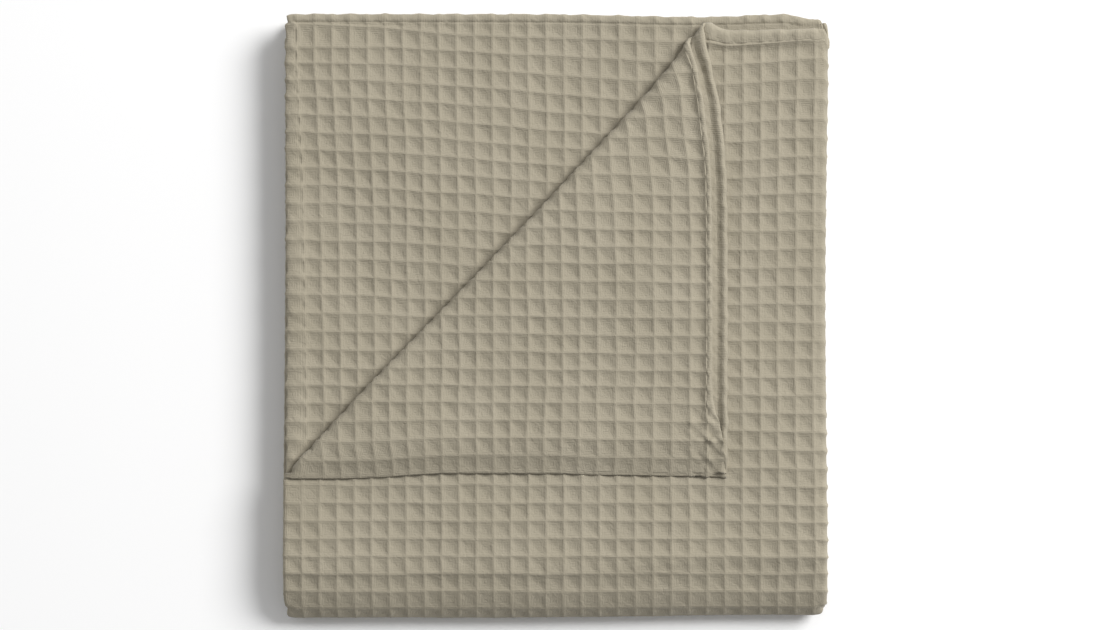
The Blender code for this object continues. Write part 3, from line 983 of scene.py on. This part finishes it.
def make_cloth(sizes):
    """The whole cloth, laid in its folds, with the cell numbers as its UV map."""
    (u, v, cells_u, cells_v, face), triangles = cloth_arrays()
    cells_v = count_past_hem(u, v, cells_v)
    slid = scallop((u, v), slide(u, v), cells_u, cells_v)
    height = np.where(face > 0.5, face_height((u, v), slid, cells_u, cells_v, sizes), reverse_height(u, v))
    places = np.stack(loft(*slid, *lay(*slid, height)), axis=1) + cloth_offset()
    places = round_corners(places)
    places[:, 2] = np.maximum(places[:, 2], CAD_LOW[2])
    triangles = triangles[:, ::-1]
    mesh = bpy.data.meshes.new("waffle_cloth")
    mesh.from_pydata(places.tolist(), [], triangles.tolist(), shade_flat=False)
    mesh.validate()
    weave = np.stack([cells_u, cells_v], axis=1)[triangles.ravel()]
    mesh.uv_layers.new(name="weave").uv.foreach_set("vector", weave.astype(np.float32).ravel())
    return add_object("waffle_cloth", mesh)


# Materials


def add_node(tree, kind, settings=(), inputs=(), links=()):
    """Add a shader node with its settings, input values and links. A link is (input, node, output)."""
    node = tree.nodes.new("ShaderNode" + kind)
    for name, value in settings:
        setattr(node, name, value)
    for name, value in inputs:
        node.inputs[name].default_value = value
    for name, source, output in links:
        tree.links.new(source.outputs[output], node.inputs[name])
    return node


def new_material(name, *values):
    """A new material whose shader has these values. A value is (input, value)."""
    material = bpy.data.materials.new(name)
    material.use_nodes = True
    for socket, value in values:
        material.node_tree.nodes["Principled BSDF"].inputs[socket].default_value = value
    return material


def yarn_height(tree, weave):
    """Yarns along each wall of a pit, from the cell numbers: upright on the side walls, else level."""
    split = add_node(tree, "SeparateXYZ", links=[("Vector", weave, 0)])
    offs, yarns = [], []
    for axis in (0, 1):
        share = add_node(tree, "Math", [("operation", "FRACT")], links=[(0, split, axis)])
        off = add_node(tree, "Math", [("operation", "SUBTRACT")], [(1, 0.5)], [(0, share, 0)])
        offs.append(add_node(tree, "Math", [("operation", "ABSOLUTE")], links=[(0, off, 0)]))
        turns = add_node(tree, "Math", [("operation", "MULTIPLY")],
                         [(1, YARNS_PER_CELL * math.tau)], [(0, split, axis)])
        yarns.append(add_node(tree, "Math", [("operation", "SINE")], links=[(0, turns, 0)]))
    side = add_node(tree, "Math", [("operation", "GREATER_THAN")], links=[(0, offs[0], 0), (1, offs[1], 0)])
    return add_node(tree, "Mix", links=[("Factor", side, 0), (2, yarns[1], 0), (3, yarns[0], 0)])


def waffle_cotton(finish):
    """Honeycomb-woven cotton, piece dyed: matt, soft, with a faint haze of fibre ends.

    The eye sees its cells, fine yarns along the walls, small puckers and a slightly uneven dye.
    """
    material = new_material("waffle_woven_cotton", ("Roughness", finish.roughness), ("Sheen Weight", SHEEN),
                            ("Sheen Roughness", SHEEN_ROUGHNESS), ("Specular IOR Level", SPECULAR))
    tree = material.node_tree
    shader = tree.nodes["Principled BSDF"]
    yarns = yarn_height(tree, add_node(tree, "UVMap", [("uv_map", "weave")]))
    on_piece = [("Vector", add_node(tree, "TexCoord"), "Object")]
    pucker, haze, dye = (
        add_node(tree, "TexNoise", inputs=zip(("Scale", "Detail", "Distortion"), noise), links=on_piece)
        for noise in (PUCKERS, HAZE, DYE)
    )
    tone = add_node(tree, "Mix", [("data_type", "RGBA")],
                    [("A", linear(finish.dark_hex)), ("B", linear(finish.light_hex))], [("Factor", dye, 0)])
    fleck = add_node(tree, "Mix", [("data_type", "RGBA"), ("blend_type", "MULTIPLY")],
                     [("Factor", FLECK)], [("A", tone, 2), ("B", haze, 0)])
    tree.links.new(fleck.outputs[2], shader.inputs["Base Color"])
    before = []
    for height, bump_sizes in ((pucker, PUCKER_BUMP), (yarns, YARN_BUMP), (haze, HAZE_BUMP)):
        bump = add_node(tree, "Bump", inputs=zip(("Strength", "Distance"), bump_sizes),
                        links=[("Height", height, 0)] + before)
        before = [("Normal", bump, 0)]
    tree.links.new(bump.outputs[0], shader.inputs["Normal"])
    return material


def studio_board():
    """Matt white studio board, on which the eye sees only the soft shadow."""
    looks = ("Base Color", linear(FLOOR_HEX)), ("Roughness", FLOOR_ROUGHNESS)
    return new_material("white_studio_board", *looks)


# The studio


def add_floor():
    """A plain pale floor."""
    bpy.ops.object.select_all(action="DESELECT")
    bpy.ops.mesh.primitive_plane_add(size=FLOOR_SIZE, location=(0, 0, 0))
    floor = bpy.context.object
    floor.name = "floor"
    floor.data.materials.append(studio_board())


def add_lights(scene, studio):
    """A soft light from the back right, and an even light from all round."""
    key = bpy.data.lights.new("key", "AREA")
    key.shape = "DISK"
    key.size = KEY_SIZE
    key.energy = studio.key_power
    lamp = add_object("key", key)
    lamp.location = KEY_PLACE
    lamp.rotation_euler = (-lamp.location).to_track_quat("-Z", "Y").to_euler()
    world = bpy.data.worlds.new("studio")
    world.use_nodes = True
    tree = world.node_tree
    background = tree.nodes["Background"]
    background.inputs["Color"].default_value = (1, 1, 1, 1)
    way = add_node(tree, "TexCoord")
    split = add_node(tree, "SeparateXYZ", links=[("Vector", way, "Generated")])
    strength = add_node(tree, "Math", [("operation", "MULTIPLY_ADD")],
                        [(1, FRONT_DIM * studio.fill_strength), (2, studio.fill_strength)], [(0, split, "Y")])
    tree.links.new(strength.outputs[0], background.inputs["Strength"])
    scene.world = world


def add_camera(scene, studio):
    """The camera straight above, with the photo's frame at its own scale."""
    camera = bpy.data.cameras.new("camera")
    camera.lens = studio.lens_length
    camera.sensor_width = SENSOR
    eye = add_object("camera", camera)
    x, y, z = VIEW_MIDDLE
    eye.location = (x, y, z + FRAME_WIDTH * studio.lens_length / SENSOR)
    scene.camera = eye
    scene.view_settings.view_transform = "Standard"


# The add-on


class BedspreadSizes(bpy.types.PropertyGroup):
    """The sizes of the cloth."""

    ridge_height: bpy.props.FloatProperty(
        name="Ridge height", description="How far the ridges stand over the middle of the sheet",
        default=2.65 * MM, unit="LENGTH")
    pit_height: bpy.props.FloatProperty(
        name="Pit height", description="How far the bottoms of the pits lie over the middle of the sheet",
        default=-0.75 * MM, unit="LENGTH")


class BedspreadFinish(bpy.types.PropertyGroup):
    """The colour and feel of the cotton."""

    light_hex: bpy.props.StringProperty(
        name="Lighter colour", description="The sRGB hex colour where the dye took least", default="#ABA391")
    dark_hex: bpy.props.StringProperty(
        name="Darker colour", description="The sRGB hex colour where the dye took most", default="#A19986")
    roughness: bpy.props.FloatProperty(
        name="Roughness", description="How matt the cotton is",
        default=0.92, min=0.0, max=1.0, subtype="FACTOR")


class BedspreadStudio(bpy.types.PropertyGroup):
    """The floor, light and camera."""

    key_power: bpy.props.FloatProperty(
        name="Key light", description="The power of the soft light from the back right",
        default=640.0, unit="POWER")
    fill_strength: bpy.props.FloatProperty(
        name="Fill light", description="The strength of the even light from all round", default=0.43)
    lens_length: bpy.props.FloatProperty(
        name="Lens", description="The focal length of the camera", default=100.0, unit="CAMERA")


class BEDSPREAD_OT_cloth(bpy.types.Operator):
    """Build the folded cloth"""

    bl_idname = "bedspread.cloth"
    bl_label = "Folded Cloth"

    def execute(self, context):
        """Make the cloth, with its material, in place of the plain solid."""
        cloth = make_cloth(context.scene.bedspread_sizes)
        cloth.data.materials.append(waffle_cotton(context.scene.bedspread_finish))
        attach(cloth, "root")
        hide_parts("bedspread")
        return {"FINISHED"}


class BEDSPREAD_OT_studio(bpy.types.Operator):
    """Set up the floor, the lights and the camera"""

    bl_idname = "bedspread.studio"
    bl_label = "Studio"

    def execute(self, context):
        """Make the floor, the lights and the camera overhead."""
        add_floor()
        add_lights(context.scene, context.scene.bedspread_studio)
        add_camera(context.scene, context.scene.bedspread_studio)
        return {"FINISHED"}


class BEDSPREAD_PT_panel(bpy.types.Panel):
    """The add-on's panel"""

    bl_idname = "BEDSPREAD_PT_panel"
    bl_label = "Waffle Bedspread"
    bl_space_type = "VIEW_3D"
    bl_region_type = "UI"
    bl_category = "Bedspread"

    def draw(self, context):
        """List the sizes, the finish, the studio and the operators."""
        layout = self.layout
        for name in GROUPS:
            group = getattr(context.scene, name)
            for setting in group.__annotations__:
                layout.prop(group, setting)
        for operator in OPERATORS:
            layout.operator(operator.bl_idname)


GROUPS = {
    "bedspread_sizes": BedspreadSizes,
    "bedspread_finish": BedspreadFinish,
    "bedspread_studio": BedspreadStudio,
}
OPERATORS = (BEDSPREAD_OT_cloth, BEDSPREAD_OT_studio)


def register():
    """Register the classes and hang the settings on the scene."""
    for kind in (*GROUPS.values(), *OPERATORS, BEDSPREAD_PT_panel):
        bpy.utils.register_class(kind)
    for name, group in GROUPS.items():
        setattr(bpy.types.Scene, name, bpy.props.PointerProperty(type=group))


def unregister():
    """Undo what register did."""
    for name in GROUPS:
        delattr(bpy.types.Scene, name)
    for kind in reversed((*GROUPS.values(), *OPERATORS, BEDSPREAD_PT_panel)):
        bpy.utils.unregister_class(kind)


def main():
    """Build everything."""
    register()
    bpy.ops.bedspread.cloth()
    bpy.ops.bedspread.studio()


if __name__ == "__main__":
    main()
